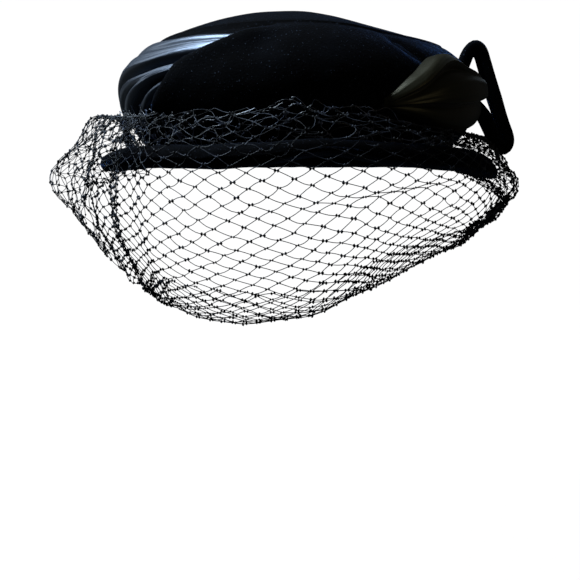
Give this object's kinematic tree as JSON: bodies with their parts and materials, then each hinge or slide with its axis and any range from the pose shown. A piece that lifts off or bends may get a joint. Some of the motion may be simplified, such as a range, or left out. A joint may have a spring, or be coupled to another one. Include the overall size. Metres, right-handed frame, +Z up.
{
  "type": "draped velvet cocktail hat with birdcage veil",
  "caption": "Small round velvet hat with a soft brim, pleated satin trim, a stiff side bow loop and a short net veil over the face.",
  "frame": {"origin": "middle of the head opening, level with the brim, where the hat sits on the head", "axes": "+Z up through the crown, -Y towards the front of the face, +X towards the wearer's left, where the bow loop is"},
  "size_m": [0.2654, 0.2492, 0.1498],
  "materials": {
    "velvet": "black silk velvet, matt with a blue-grey sheen at grazing angles",
    "satin": "black satin with soft blue-grey highlights",
    "net": "black knotted veiling net, open diamond mesh"
  },
  "bodies": {
    "root": {"crown_side": "velvet", "crown_top": "velvet", "brim": "velvet", "bow_loop": "velvet", "satin_drape_left": "satin", "satin_puff_right": "satin", "veil": "net"}
  },
  "joints": []
}
